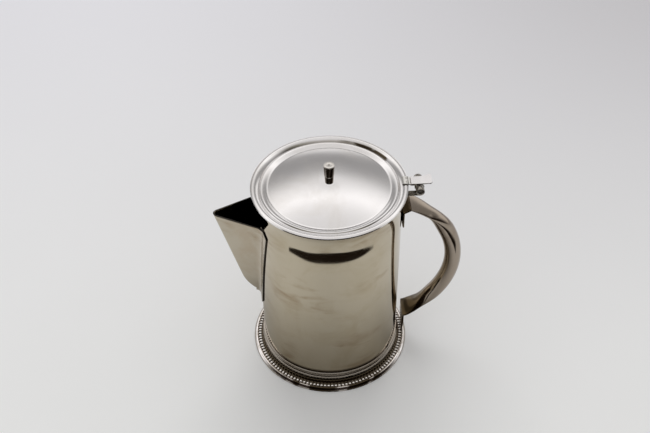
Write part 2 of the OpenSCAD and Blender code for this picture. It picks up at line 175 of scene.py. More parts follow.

# Painted shade and painted dark reflections fixed to the steel: where each begins and where it is full,
# and the colour of them all
COVE_SHADE_R = (COVE_DEEP.x + 1.7 * MM, COVE_DEEP.x + 0.6 * MM)
FLUTE_GAP_SHADE_TURN = (0.24, 0.12)
FOOT_REFLECTION_Z = (BAND_TOP + 3 * MM, BAND_TOP + 0.6 * MM)
LIP_REFLECTION_Y = (-42 * MM, -50 * MM)
LID_REFLECTION_R = GROOVE_R + 0.8 * MM
LID_REFLECTION_OFF = (1.1 * MM, 0.6 * MM)
LID_REFLECTION_X = (8 * MM, 18 * MM)
LID_REFLECTION_Y = (22 * MM, 28 * MM)
KNOB_REFLECTION_Z = (KNOB_TOP - 0.3 * MM, KNOB_TOP - 0.8 * MM)
WELD_SHADE_X = (59 * MM, 56 * MM)
TONGUE_SHADE_Z = (46 * MM, 30 * MM)
PAINTED_DARK = (0.11, 0.085, 0.055)

# The photo's camera: place, pitch below the horizon, turn clockwise from +Y, roll, and lens in mm
CAMERA_POS = (-0.0280, -0.5345, 0.6198)
CAMERA_PITCH = 42.612
CAMERA_TURN = 2.661
CAMERA_ROLL = -0.529
CAMERA_LENS = 55.385

# The floor: colour near the pot, painted shade that darkens it at the back and more in the back right
# corner, and where they change
FLOOR_NEAR = ((0.94, 0.94, 0.915), (0.98, 0.98, 0.955))
FLOOR_BACK_SHADE = (0.80, 0.79, 0.82)
FLOOR_CORNER_SHADE = (0.57, 0.555, 0.56)
FLOOR_BACK_Y = (-0.25, 0.75)
FLOOR_RIGHT_X = (-0.3, 0.5)
# The dark beyond the table's front edge, as the steel mirrors it: where it begins and where it ends
TABLE_EDGE = 0.182
TABLE_EDGE_SOFT = 1 * MM
TABLE_FRONT_Y = (-85 * MM, -90 * MM)
TABLE_FADE = (TABLE_EDGE + 0.5, TABLE_EDGE + 0.12)
TABLE_FADE_X = (TABLE_EDGE + 0.14, TABLE_EDGE + 0.02)
TABLE_DARK = (0.02, 0.013, 0.009)
# Shade round the pot, as the steel mirrors it: where it begins, where it is full, and its colour
SHADE_R = (0.15, 0.045)
SHADE = (0.44, 0.42, 0.38)
# The room behind the pot, as the steel mirrors it: elevation in degrees and brightness
ROOM_BEHIND = ((10, 1.05), (15, 0.95), (18.5, 0.38), (24, 0.355), (29, 0.37), (33, 0.43), (37, 0.64),
               (41, 0.95), (45, 1.15), (50, 1.35), (54, 1.1), (57, 1.0), (61, 0.92), (66, 0.86),
               (75, 0.85), (90, 0.85))
# The room before it: elevation and colour, and how far the two rooms run into each other in Y
ROOM_AHEAD = ((-5, (0.03, 0.02, 0.014)), (20, (0.02, 0.013, 0.009)), (45, (0.022, 0.015, 0.010)),
              (52, (0.13, 0.12, 0.09)), (57, (0.3, 0.28, 0.24)), (68, (0.7, 0.68, 0.66)),
              (78, (0.85, 0.84, 0.86)), (90, (0.85, 0.83, 0.80)))
ROOM_JOIN_Y = (-0.25, 0.35)
# Light that falls on matt surfaces from all round, and the backdrop that the camera sees
ROOM_SOFT = (0.62, 0.62, 0.63)
BACKDROP = (0.8, 0.8, 0.8)
# The one lamp: place, target, size and watts
LAMP_POS = (0, 1.5, 1.6)
LAMP_TARGET = (0, 0, 0.1)
LAMP_SIZE = (1.8, 1.2)
LAMP_POWER = 14


# ---------- meshes ----------

def piece(name, verts, faces, body, material, nodes=(), sharp=40, solid=0.0):
    """Makes a mesh piece that rides on a body and stands for CAD nodes.

    A sheet is solid metres thick, behind its faces, or before them where solid is negative.
    """
    mesh = bpy.data.meshes.new(name)
    mesh.from_pydata([tuple(v) for v in verts], [], faces)
    mesh.validate()
    mesh.polygons.foreach_set("use_smooth", [True] * len(mesh.polygons))
    mesh.set_sharp_from_angle(angle=math.radians(sharp))
    mesh.materials.append(material)
    obj = bpy.data.objects.new(name, mesh)
    bpy.context.scene.collection.objects.link(obj)
    if solid:
        sheet = obj.modifiers.new("sheet", "SOLIDIFY")
        sheet.thickness = abs(solid)
        sheet.offset = -1 if solid > 0 else 1
    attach(obj, body)
    if nodes:
        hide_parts(*nodes)
    return obj


def darken_rim(obj, shaded_edge_material):
    """Gives the cut edge of a sheet its own material, here a near-black one: a dull cut edge, darkened
    further as painted shade.
    """
    obj.data.materials.append(shaded_edge_material)
    obj.modifiers["sheet"].material_offset_rim = 1


def grid_faces(rows, cols, close_cols=False, close_rows=False, start=0):
    """Quads between rows of points; the points of one row lie side by side in the list."""
    faces = []
    for j in range(rows if close_rows else rows - 1):
        for i in range(cols if close_cols else cols - 1):
            a, b = j * cols, (j + 1) % rows * cols
            k = (i + 1) % cols
            faces.append((start + a + i, start + a + k, start + b + k, start + b + i))
    return faces


def arc(cx, cy, r, a0, a1, n):
    """Points of a circular arc, from angle a0 to a1 in degrees."""
    angles = [math.radians(a0 + (a1 - a0) * i / n) for i in range(n + 1)]
    return [(cx + r * math.cos(a), cy + r * math.sin(a)) for a in angles]


def ease(t):
    """Smooth run from 0 to 1 as t goes from 0 to 1, level outside."""
    u = max(0, min(1, t))
    return u * u * (3 - 2 * u)


def spaced(a, b, n):
    """Numbers from a to b in n equal steps."""
    return [a + (b - a) * i / n for i in range(n + 1)]


def lathe(profile, segments, axis=None):
    """Verts and faces of a closed profile of (radius, height) turned round Z, or round an axis."""
    verts = []
    for r, z in profile:
        for i in range(segments):
            a = 2 * math.pi * i / segments
            p = Vector((r * math.cos(a), r * math.sin(a), z))
            verts.append(axis @ p if axis else p)
    return verts, grid_faces(len(profile), segments, close_cols=True)


def rounded(points, r, n=5):
    """Open outline with its inner corners rounded to radius r."""
    out = [Vector(points[0])]
    for a, b, c in zip(points, points[1:], points[2:]):
        a, b, c = Vector(a), Vector(b), Vector(c)
        d, e = (a - b).normalized(), (c - b).normalized()
        cut = min(r, (a - b).length * 0.45, (c - b).length * 0.45)
        p, q = b + d * cut, b + e * cut
        for t in spaced(0, 1, n):
            out.append(p * (1 - t) ** 2 + b * 2 * t * (1 - t) + q * t ** 2)
    out.append(Vector(points[-1]))
    return out


def strip_along(path, width, thickness):
    """Sheet of a given thickness along a path of (x, z), as wide in Y as width(x) says."""
    verts = []
    bevel = thickness * 0.3
    for k, p in enumerate(path):
        d = (path[min(k + 1, len(path) - 1)] - path[max(k - 1, 0)]).normalized()
        up = Vector((-d.y, d.x))
        half = width(p.x) / 2
        ring = [(-half + bevel, 0), (half - bevel, 0), (half, 0.3), (half, 0.7),
                (half - bevel, 1), (-half + bevel, 1), (-half, 0.7), (-half, 0.3)]
        for y, t in ring:
            q = p + up * (t * thickness)
            verts.append((q.x, y, q.y))
    return verts, tube_faces(len(path), len(ring))


def tube_faces(rows, cols):
    """Faces of a stack of closed rings with a cap at each end."""
    faces = grid_faces(rows, cols, close_cols=True)
    faces.append(tuple(range(cols - 1, -1, -1)))
    faces.append(tuple(range((rows - 1) * cols, rows * cols)))
    return faces


# ---------- materials ----------

def node(tree, kind, operation=None, **values):
    """Adds a shader node and sets or links its inputs; numbers are set, sockets are linked."""
    made = tree.nodes.new(kind)
    if operation:
        made.operation = operation
    for key, value in values.items():
        socket = made.inputs[int(key[1:])]
        if isinstance(value, bpy.types.NodeSocket):
            tree.links.new(value, socket)
        else:
            socket.default_value = value
    return made


def smooth_step(tree, value, low, high):
    """Socket that runs smoothly from 0 at low to 1 at high."""
    made = tree.nodes.new("ShaderNodeMapRange")
    made.interpolation_type = "SMOOTHSTEP"
    tree.links.new(value, made.inputs["Value"])
    made.inputs["From Min"].default_value = low
    made.inputs["From Max"].default_value = high
    return made.outputs["Result"]


def blend(tree, factor, a, b):
    """Colour socket between a and b; each may be a colour or a socket."""
    made = tree.nodes.new("ShaderNodeMix")
    made.data_type = "RGBA"
    tree.links.new(factor, made.inputs["Factor"])
    for name, value in (("A", a), ("B", b)):
        socket = [k for k in made.inputs if k.name == name and k.type == "RGBA"][0]
        if isinstance(value, bpy.types.NodeSocket):
            tree.links.new(value, socket)
        else:
            socket.default_value = (*value, 1)
    return [k for k in made.outputs if k.type == "RGBA"][0]


def ramp(tree, value, stops):
    """Colour ramp over stops of (elevation in degrees, colour)."""
    made = tree.nodes.new("ShaderNodeValToRGB")
    tree.links.new(value, made.inputs["Fac"])
    line = made.color_ramp
    while len(line.elements) < len(stops):
        line.elements.new(0.5)
    for element, (elevation, colour) in zip(line.elements, stops):
        element.position = (math.sin(math.radians(elevation)) + 1) / 2
        element.color = (*colour, 1)
    return made.outputs["Color"]


def maths(tree, operation, *values):
    """Value of a math node over numbers and sockets."""
    inputs = {f"_{i}": value for i, value in enumerate(values)}
    return node(tree, "ShaderNodeMath", operation, **inputs).outputs["Value"]


def times(tree, a, b):
    """Product of two numbers; each may be a value or a socket."""
    return maths(tree, "MULTIPLY", a, b)


def axes_of(tree, place):
    """The X, Y and Z sockets of a place."""
    split = node(tree, "ShaderNodeSeparateXYZ", _0=place)
    return split.outputs["X"], split.outputs["Y"], split.outputs["Z"]


def off_axis(tree, place):
    """Distance of a place from the pot's axis."""
    flat = node(tree, "ShaderNodeVectorMath", "MULTIPLY", _0=place, _1=(1, 1, 0)).outputs["Vector"]
    return node(tree, "ShaderNodeVectorMath", "LENGTH", _0=flat).outputs["Value"]


def floor_material():
    """Pale table, darker towards the back and the back right corner as painted shade; the steel mirrors
    it dimmer near the pot, and dark beyond its front edge.
    """
    mat = bpy.data.materials.new("pale_floor")
    mat.use_nodes = True
    tree = mat.node_tree
    bsdf = tree.nodes["Principled BSDF"]
    place = node(tree, "ShaderNodeNewGeometry").outputs["Position"]
    x, y, _ = axes_of(tree, place)
    away = off_axis(tree, place)
    # Painted shade: the floor darkens towards the back and more in the back right corner
    back = smooth_step(tree, y, *FLOOR_BACK_Y)
    corner = times(tree, back, smooth_step(tree, x, *FLOOR_RIGHT_X))
    cloth_and_shade = blend(tree, back, blend(tree, noise(tree, place, 7), *FLOOR_NEAR), FLOOR_BACK_SHADE)
    cloth_and_shade = blend(tree, corner, cloth_and_shade, FLOOR_CORNER_SHADE)

    mirrored = node(tree, "ShaderNodeLightPath").outputs["Is Glossy Ray"]
    close = times(tree, mirrored, smooth_step(tree, away, *SHADE_R))
    cloth_and_shade = blend(tree, close, cloth_and_shade, SHADE)
    beyond = smooth_step(tree, away, TABLE_EDGE - TABLE_EDGE_SOFT, TABLE_EDGE + TABLE_EDGE_SOFT)
    ahead = smooth_step(tree, y, *TABLE_FRONT_Y)
    far = smooth_step(tree, away, *TABLE_FADE)
    aside = smooth_step(tree, maths(tree, "ABSOLUTE", x), *TABLE_FADE_X)
    dark = times(tree, times(tree, beyond, ahead), times(tree, far, aside))
    cloth_and_shade = blend(tree, times(tree, mirrored, dark), cloth_and_shade, TABLE_DARK)
    tree.links.new(cloth_and_shade, bsdf.inputs["Base Color"])
    bsdf.inputs["Roughness"].default_value = 0.9
    bsdf.inputs["Specular IOR Level"].default_value = 0.1
    return mat


def noise(tree, place, scale, detail=3, roughness=0.5, distortion=0.0):
    """Noise value over a place socket."""
    made = tree.nodes.new("ShaderNodeTexNoise")
    for key, value in (("Scale", scale), ("Detail", detail), ("Roughness", roughness),
                       ("Distortion", distortion)):
        made.inputs[key].default_value = value
    tree.links.new(place, made.inputs["Vector"])
    return made.outputs["Fac"]


def stretched(tree, place, scale, turn=(0, 0, 0)):
    """Place socket turned by angles in degrees and scaled along each axis."""
    made = tree.nodes.new("ShaderNodeMapping")
    made.inputs["Rotation"].default_value = [math.radians(a) for a in turn]
    made.inputs["Scale"].default_value = scale
    tree.links.new(place, made.inputs["Vector"])
    return made.outputs["Vector"]


def bumped(tree, height, strength, distance, normal=None):
    """Normal socket of a bump over a height socket."""
    made = tree.nodes.new("ShaderNodeBump")
    made.inputs["Strength"].default_value = strength
    made.inputs["Distance"].default_value = distance
    tree.links.new(height, made.inputs["Height"])
    if normal:
        tree.links.new(normal, made.inputs["Normal"])
    return made.outputs["Normal"]


def cove_painted_shade(tree, place):
    """Painted shade: 1 in the cove beside the band and in the grooves between the flutes, 0 on their
    ends.
    """
    x, y, _ = axes_of(tree, place)
    turns = maths(tree, "FRACT", times(tree, maths(tree, "ARCTAN2", y, x), FLUTES / (2 * math.pi)))
    off_groove = maths(tree, "ABSOLUTE", maths(tree, "SUBTRACT", turns, 0.5))
    groove = smooth_step(tree, off_groove, *FLUTE_GAP_SHADE_TURN)
    return maths(tree, "MAXIMUM", smooth_step(tree, off_axis(tree, place), *COVE_SHADE_R), groove)


def foot_painted_reflection(tree, place):
    """Painted dark reflection of the foot ring's band: 1 low on the wall, where the band meets it, 0
    above.
    """
    return smooth_step(tree, axes_of(tree, place)[2], *FOOT_REFLECTION_Z)


def lip_painted_reflection(tree, place):
    """Painted dark reflection, broken, along the front of the foot ring's lip, 0 elsewhere."""
    front = smooth_step(tree, axes_of(tree, place)[1], *LIP_REFLECTION_Y)
    return times(tree, front, smooth_step(tree, noise(tree, place, 130, 2), 0.6, 0.45))


def lid_painted_reflection(tree, place):
    """Painted dark reflection, broken, in the lid's groove, at the back on the hinge's side, 0
    elsewhere.
    """
    x, y, _ = axes_of(tree, place)
    off = maths(tree, "ABSOLUTE", maths(tree, "SUBTRACT", off_axis(tree, place), LID_REFLECTION_R))
    back = times(tree, smooth_step(tree, x, *LID_REFLECTION_X), smooth_step(tree, y, *LID_REFLECTION_Y))
    broken = smooth_step(tree, noise(tree, place, 60, 1), 0.38, 0.5)
    return times(tree, smooth_step(tree, off, *LID_REFLECTION_OFF), times(tree, back, broken))


def knob_painted_reflection(tree, place):
    """Painted dark reflection: upright streaks below the knob's top, 0 on the top itself."""
    below = smooth_step(tree, axes_of(tree, place)[2], *KNOB_REFLECTION_Z)
    streak = noise(tree, stretched(tree, place, (700, 700, 20)), 1, 2)
    return times(tree, below, smooth_step(tree, streak, 0.6, 0.5))


def handle_end_painted_shade(tree, place):
    """Painted shade: 1 where the handle is welded to the wall and along its lower tongue, 0 elsewhere.
    """
    x, _, z = axes_of(tree, place)
    return maths(tree, "MAXIMUM", smooth_step(tree, x, *WELD_SHADE_X),
                 smooth_step(tree, z, *TONGUE_SHADE_Z))


def steel(name, tint, dull_tint, rough, cloud_amount=0.5, scale=28, wave=0.25, grain=(60, 60, 900),
          smudge=None, scratch=0.04, painted_dark_at=None):
    """Polished steel: a tint with clouds of a duller one, rub marks in one direction, soft waves.

    It may have brown smudges, and painted shade and painted dark reflections where the function passed
    for them says.
    """
    mat = bpy.data.materials.new(name)
    mat.use_nodes = True
    tree = mat.node_tree
    bsdf = tree.nodes["Principled BSDF"]
    bsdf.inputs["Metallic"].default_value = 1
    place = tree.nodes.new("ShaderNodeTexCoord").outputs["Object"]

    cloud = smooth_step(tree, noise(tree, place, scale, 5, 0.62, 0.9), 0.42, 0.72)
    cloud = times(tree, cloud, cloud_amount)
    colour = blend(tree, cloud, tint, dull_tint)
    rub = noise(tree, stretched(tree, place, grain), 1, 3)
    dull = maths(tree, "MULTIPLY_ADD", rub, rough * 0.7, rough * 0.65)
    dull = maths(tree, "MULTIPLY_ADD", cloud, rough * 0.8, dull)
    if smudge:
        lean = stretched(tree, place, (30, 30, 95), (14, -12, 0))
        streak = smooth_step(tree, noise(tree, lean, 1, 3, 0.55, 0.8), 0.45, 0.78)
        patch = smooth_step(tree, noise(tree, place, 21, 2), 0.46, 0.64)
        smear = times(tree, streak, patch)
        colour = blend(tree, times(tree, smear, 0.75), colour, smudge)
        dull = maths(tree, "MULTIPLY_ADD", smear, 0.12, dull)
    # Painted shade and painted dark reflections: the colour darkens to one dark colour where the mask
    # says
    if painted_dark_at:
        colour = blend(tree, painted_dark_at(tree, place), colour, PAINTED_DARK)
    tree.links.new(colour, bsdf.inputs["Base Color"])
    tree.links.new(dull, bsdf.inputs["Roughness"])
    swell = bumped(tree, noise(tree, place, 34, 1), wave, 1 * MM)
    tree.links.new(bumped(tree, rub, scratch, 0.2 * MM, swell), bsdf.inputs["Normal"])
    return mat


# ---------- pot ----------

def collar_r(z):
    """Radius of the wall at height z: straight, and flared in the collar."""
    t = max(0, (z - COLLAR_Z) / COLLAR_H)
    return BODY_R + COLLAR_FLARE * t ** COLLAR_POWER


def keel_foot():
    """Lowest point of the keel's straight part, as (x, z)."""
    return Vector((-TIP_X + KEEL_LEN * math.sin(KEEL_LEAN), MOUTH_Z - KEEL_LEN * math.cos(KEEL_LEAN)))


def mouth_half_width():
    """Half of the spout's width where its mouth meets the wall."""
    slope = math.tan(FLANK_A) * math.cos(KEEL_LEAN)
    apex = TIP_X + KEEL_R * (1 / math.sin(FLANK_A) - 1) / math.cos(KEEL_LEAN)
    k, b = 1 + 1 / slope ** 2, apex / slope
    return (b - math.sqrt(b ** 2 - k * (apex ** 2 - BODY_R ** 2))) / k


def toe_outline(low, r, half_w, top):
    """Right half of a tapered outline, from its toe's lowest point up to (half_w, top)."""
    cy = low + r
    reach = math.hypot(half_w, top - cy)
    touch = math.degrees(math.atan2(top - cy, half_w) - math.acos(r / reach))
    return arc(0, cy, r, -90, touch, 16) + [(half_w, top)]


def window_outline():
    """Right half of the pouring window in the wall, from the bottom up and back to the middle."""
    mouth_w = mouth_half_width()
    slant = math.atan2(WINDOW_TOP - MOUTH_Z, WINDOW_HALF_W - mouth_w)
    corner_z = WINDOW_TOP - WINDOW_CORNER_R
    corner_y = mouth_w + (corner_z - MOUTH_Z) / math.tan(slant) - WINDOW_CORNER_R / math.sin(slant)
    low = toe_outline(keel_foot().y - 4 * MM, WINDOW_TOE_R, mouth_w - LEDGE_W, MOUTH_Z)
    corner = arc(corner_y, corner_z, WINDOW_CORNER_R, math.degrees(slant) - 90, 90, 10)
    return low, [(mouth_w, MOUTH_Z)] + corner


def height_on(points, y):
    """Height of a polyline of (y, z) at y, with y growing along it."""
    for (y0, z0), (y1, z1) in zip(points, points[1:]):
        if y0 <= y <= y1:
            return z0 + (z1 - z0) * ((y - y0) / (y1 - y0) if y1 > y0 else 1)
    return points[-1][1]


def build_shell(material, shaded_edge_material):
    """Wall with its flared collar; the columns of the grid part round the pouring window."""
    low, corner = window_outline()
    side = low + corner
    widest = max(range(len(side)), key=lambda k: side[k][0])
    floor_line, roof_line = side[:widest + 1], side[widest:][::-1]
    roof_line = [(0, WINDOW_TOP)] + roof_line
    reach = side[widest][0]
    columns, low_rows, top_rows = 720, 70, 16
    verts = []
    for i in range(columns):
        a = 2 * math.pi * i / columns
        y = abs(BODY_R * math.sin(a))
        inside = math.cos(a) < 0 and y < reach
        z0 = height_on(floor_line, y) if inside else side[widest][1]
        z1 = height_on(roof_line, y) if inside else side[widest][1]
        heights = spaced(WALL_LOW, z0, low_rows) + spaced(z1, COLLAR_TOP, top_rows)
        for z in heights:
            r = collar_r(z)
            verts.append((r * math.cos(a), r * math.sin(a), z))
    per = low_rows + top_rows + 2
    faces = []
    for i in range(columns):
        k = (i + 1) % columns
        open_here = any(
            (Vector(verts[c * per + low_rows]) - Vector(verts[c * per + low_rows + 1])).length > 1e-6
            for c in (i, k))
        for j in range(per - 1):
            if j == low_rows and open_here:
                continue
            faces.append((i * per + j, k * per + j, k * per + j + 1, i * per + j + 1))
    shell = piece("pot_wall", verts, faces, "pot", material, ["body_shell"], solid=WALL)
    darken_rim(shell, shaded_edge_material)
    shell.modifiers.new("seam", "WELD").merge_threshold = 1e-6
    shell.modifiers.move(1, 0)
    profile = arc(RIM_R - WALL / 2, COLLAR_TOP, RIM_ROLL_R, 0, 360, 24)
    verts, faces = lathe(profile, 360)
    piece("pot_rim", verts, faces, "pot", material, sharp=80)


def band_profile():
    """The foot ring's band: two beads, one over the other, as (radius, height)."""
    wall = BODY_R + 0.05 * MM
    profile = []
    beads = ((BAND_LOW, BAND_SPLIT, BAND_BULGE), (BAND_SPLIT, BAND_TOP, BAND_UPPER_BULGE))
    for low, high, bulge in beads:
        for t in spaced(0, 1, 14):
            rise = math.sin(math.pi * t) ** 0.7
            profile.append((wall + BAND_GROOVE + (bulge - BAND_GROOVE) * rise, low + (high - low) * t))
    return profile + [(wall, BAND_TOP), (wall, BAND_LOW)]


def flute_swell(t):
    """Height of a flute, 1 at its fullest, on its way t from the band, 0, to the lip, 1."""
    return 0.25 + 0.75 * ease((t - 0.4) / 0.35) if t < 0.85 else ease((1.12 - t) / 0.27)


def flute_grid():
    """Verts and faces of the fluted border that runs round the cove between band and lip."""
    rows, per_flute = 24, 16
    around = FLUTES * per_flute
    verts = []
    for t in spaced(0, 1, rows):
        base = COVE_IN * (1 - t) ** 2 + COVE_DEEP * 2 * t * (1 - t) + COVE_OUT * t ** 2
        run = (COVE_DEEP - COVE_IN) * (1 - t) + (COVE_OUT - COVE_DEEP) * t
        out = Vector((-run.y, run.x)).normalized()
        for i in range(around):
            phase = (i % per_flute) / per_flute * 2 - 1
            gap = abs(phase) * math.pi * base.x / FLUTES
            p = base + out * math.sqrt(max(0, FLUTE_R ** 2 - gap ** 2)) * flute_swell(t)
            a = 2 * math.pi * (i - per_flute / 2) / around
            verts.append((p.x * math.cos(a), p.x * math.sin(a), p.y))
    return verts, grid_faces(rows + 1, around, close_cols=True)


def lip_profile():
    """The foot ring's lip and the flat face it stands on, as (radius, height)."""
    corners = [COVE_OUT - Vector((0, 1 * MM)), COVE_OUT, (LIP_X - 0.6 * MM, LIP_TOP),
               (LIP_X + 0.4 * MM, LIP_TOP), (FOOT_R - 0.05 * MM, LIP_Z + 0.1 * MM),
               (FOOT_R, 0.4 * MM), (FOOT_R - 0.4 * MM, 0), (COVE_OUT.x, 0)]
    return [(p.x, p.y) for p in rounded(corners, 0.45 * MM)]


def build_foot(band_material, flute_material, lip_material):
    """Foot ring: band, fluted border and lip."""
    verts, faces = lathe(band_profile(), 360)
    piece("foot_band", verts, faces, "pot", band_material, ["foot_ring"], sharp=50)
    verts, faces = flute_grid()
    piece("foot_flutes", verts, faces, "pot", flute_material, sharp=75)
    verts, faces = lathe(lip_profile(), 480)
    piece("foot_lip", verts, faces, "pot", lip_material, sharp=50)


# ---------- spout ----------

def fold_section(arc_steps, flank_steps, depth):
    """Half of the fold's section from its nose outwards, as (depth behind the nose, half width)."""
    nose = [(KEEL_R - KEEL_R * math.cos(a), KEEL_R * math.sin(a))
            for a in spaced(0, math.pi / 2 - FLANK_A, arc_steps)]
    x0, y0 = nose[-1]
    flank = [(x0 + (depth - x0) * t, y0 + (depth - x0) * t * math.tan(FLANK_A))
             for t in spaced(0, 1, flank_steps)[1:]]
    return nose + flank


def fold_ends(x, y):
    """Where a line of the fold starts at the mouth and where it meets the wall."""
    foot = keel_foot()
    sin_l, cos_l = math.sin(KEEL_LEAN), math.cos(KEEL_LEAN)
    start = (MOUTH_Z - foot.y - x * sin_l) / cos_l
    wall_x = -math.sqrt(BODY_R ** 2 - y ** 2)
    end = (foot.x + x * cos_l - wall_x) / sin_l
    if end < 0:
        turn_x, rho = foot.x + KEEL_TURN_R * cos_l, KEEL_TURN_R - x
        end = (KEEL_LEAN - math.acos((turn_x - wall_x) / rho)) * rho
    return start, end


def fold_point(x, y, way):
    """Point of the fold at a way along its line: upright from the keel's foot, or round the turn."""
    foot = keel_foot()
    sin_l, cos_l = math.sin(KEEL_LEAN), math.cos(KEEL_LEAN)
    if way >= 0:
        return Vector((foot.x + x * cos_l - way * sin_l, y, foot.y + x * sin_l + way * cos_l))
    turn = foot + KEEL_TURN_R * Vector((cos_l, sin_l))
    rho = KEEL_TURN_R - x
    a = KEEL_LEAN - way / rho
    return Vector((turn.x - rho * math.cos(a), y, turn.y - rho * math.sin(a)))


def spout_depth():
    """Depth behind the nose at which the mouth's edge reaches the wall."""
    low, high = KEEL_R, 60 * MM
    for _ in range(60):
        mid = (low + high) / 2
        y = fold_section(4, 1, mid)[-1][1]
        start, end = fold_ends(mid, y) if y < BODY_R else (0, 1)
        low, high = (mid, high) if start > end else (low, mid)
    return low


def build_spout(fold_material, flange_material, shaded_edge_material):
    """The folded sheet, as lines from its mouth down to the wall, and its weld flange."""
    half = fold_section(14, 34, spout_depth())
    section = [(x, -y) for x, y in half[:0:-1]] + half
    rows = 60
    verts, seam = [], []
    for x, y in section:
        start, end = fold_ends(x, abs(y))
        line = [fold_point(x, y, w) for w in spaced(start, min(end, start), rows)]
        verts += line
        seam.append(line[-1])
    faces = [f[::-1] for f in grid_faces(len(section), rows + 1)]
    fold = piece("spout_fold", verts, faces, "pot", fold_material, ["spout"],
                 sharp=40, solid=SPOUT_T)
    darken_rim(fold, shaded_edge_material)
    build_flange(flange_material, shaded_edge_material, seam)
    build_bend(flange_material, seam)


def build_flange(material, shaded_edge_material, seam):
    """Weld flange on the wall, from the fold's seam to its own outline."""
    mouth_w = mouth_half_width()
    shoulder = (mouth_w + FLANGE_W, MOUTH_Z - FLANGE_FALL)
    low = keel_foot().y - FLANGE_TAIL
    outline = toe_outline(low, FLANGE_TOE_R, *shoulder) + [(mouth_w + FLANGE_TOP_W, MOUTH_Z)]
    inner = sorted((p.z, abs(p.y)) for p in seam)
    outer = [(z, y) for y, z in outline]
    rows, across = 90, 8
    verts, faces = [], []
    for side in (-1, 1):
        start = len(verts)
        for z in spaced(low, MOUTH_Z, rows):
            y0 = height_on(inner, z) if z > inner[0][0] else 0
            y1 = height_on(outer, z)
            for y in spaced(y0, max(y0, y1 - FLANGE_EDGE), across - 1) + [y1]:
                verts.append((-math.sqrt(BODY_R ** 2 - y ** 2) - 0.05 * MM, side * y, z))
        part = grid_faces(rows + 1, across + 1, start=start)
        faces += part if side < 0 else [f[::-1] for f in part]
    flange = piece("spout_flange", verts, faces, "pot", material, sharp=40,
                   solid=-SPOUT_T)
    darken_rim(flange, shaded_edge_material)
    # The flange's outermost strip takes the dark edge material too: a painted shade line along its
    # outline
    for face in flange.data.polygons:
        if face.index % across == across - 1:
            face.material_index = 1


def build_bend(material, seam):
    """Rounded bend between the fold and the flange, along the seam."""
    steps = 10
    verts = []
    for k, s in enumerate(seam):
        way = (seam[min(k + 1, len(seam) - 1)] - seam[max(k - 1, 0)]).normalized()
        out = Vector((s.x, s.y, 0)).normalized()
        on_wall = way.cross(out).normalized()
        if on_wall.dot(Vector((0, s.y, s.z - MOUTH_Z))) < 0:
            on_wall.negate()
        lift = fold_rise(s)
        corner = s + lift * (SPOUT_T / lift.dot(out)) + 0.03 * MM * out
        for t in spaced(0, 1, steps):
            p = corner + on_wall * FLANGE_BEND * t ** 2 + lift * FLANGE_BEND * (1 - t) ** 2
            r = max(BODY_R + SPOUT_T + 0.07 * MM, math.hypot(p.x, p.y))
            verts.append((-math.sqrt(r ** 2 - p.y ** 2), p.y, min(p.z, MOUTH_Z)))
    faces = grid_faces(len(seam), steps + 1)
    piece("spout_bend", verts, faces, "pot", material, sharp=60)


def fold_rise(s):
    """Unit along the fold's flank at a point of its seam, level and out from the wall."""
    side = math.copysign(1, s.y) * min(1, abs(s.y) / KEEL_R)
    return Vector((-1, -side * math.tan(FLANK_A) * math.cos(KEEL_LEAN), 0)).normalized()


# ---------- handle ----------

def roundness(a):
    """How round the handle is at an angle of its bow: 0 flat, 1 round."""
    return min(ease((BOW_A - a) / UPPER_BLEND_A), ease((a + BOW_A) / LOWER_BLEND_A))


def edge_power(s):
    """Power that shapes the section's thickness: 0.5 makes a flat's blunt edges, 1 a circle."""
    return 0.5 + s / 0.4 if s < 0.4 else 1.5 - 0.5 * (s - 0.4) / 0.6


def handle_ring(c, out, s, count, w=0):
    """Section of the handle at a point of its plane; s runs from flat, 0, to round, 1."""
    half_t = (FLAT_T + (TUBE_D - FLAT_T) * s) / 2
    half_w = w / 2 if w else (math.pi * (TUBE_D / 2 - half_t) + 2 * half_t) / 2
    p = edge_power(s)
    ring = []
    for i in range(count):
        q = 2 * math.pi * i / count
        t = half_t * math.copysign(abs(math.sin(q)) ** p, math.sin(q))
        ring.append((c.x + out.x * t, half_w * math.cos(q), c.y + out.y * t))
    return ring


def bow_point(a):
    """Point of the handle's bow at an angle in degrees, as (x, z)."""
    r = math.radians(a)
    return Vector((BOW_X + BOW_R * math.cos(r), BOW_Z + BOW_R * math.sin(r)))


def across_way(a, b):
    """Unit square to the way from a to b."""
    d = (b - a).normalized()
    return Vector((-d.y, d.x))


def mitre(a, b, c):
    """Way across the corner at b that keeps the thickness on both sides of it."""
    m = across_way(a, b) + across_way(b, c)
    return 2 * m / m.length_squared


def build_handle(material):
    """Tube bent to a bow, flat on the wall above and flat down to the foot ring below."""
    count = 72
    tab_low = Vector((TAB_X + FLAT_T / 2, TAB_LOW_Z))
    top = bow_point(BOW_A)
    bend = Vector((tab_low.x, top.y - TAB_BEND))
    foot = bow_point(-BOW_A) - Vector((FLAT_T / 2, 0))
    shoulder = foot - Vector((0, TONGUE_SHOULDER))
    tip = Vector((foot.x, TAB_LOW))
    rings = [handle_ring(tab_low, across_way(tab_low, bend), 0, count)]
    rings += [handle_ring(bend, mitre(tab_low, bend, top), 0, count)]
    rings += [handle_ring(top, mitre(bend, top, bow_point(BOW_A - 2)), 0, count)]
    for a in range(BOW_A - 1, -BOW_A, -1):
        out = Vector((math.cos(math.radians(a)), math.sin(math.radians(a))))
        rings.append(handle_ring(bow_point(a), out, roundness(a), count))
    rings += [handle_ring(foot, mitre(bow_point(2 - BOW_A), foot, shoulder), 0, count)]
    rings += [handle_ring(shoulder, across_way(foot, shoulder), 0, count)]
    rings += [handle_ring(tip, across_way(foot, shoulder), 0, count, TONGUE_TIP_W)]
    verts = [p for ring in rings for p in ring]
    faces = tube_faces(len(rings), count)
    piece("handle_tube", verts, faces, "pot", material, ["handle"], sharp=38)


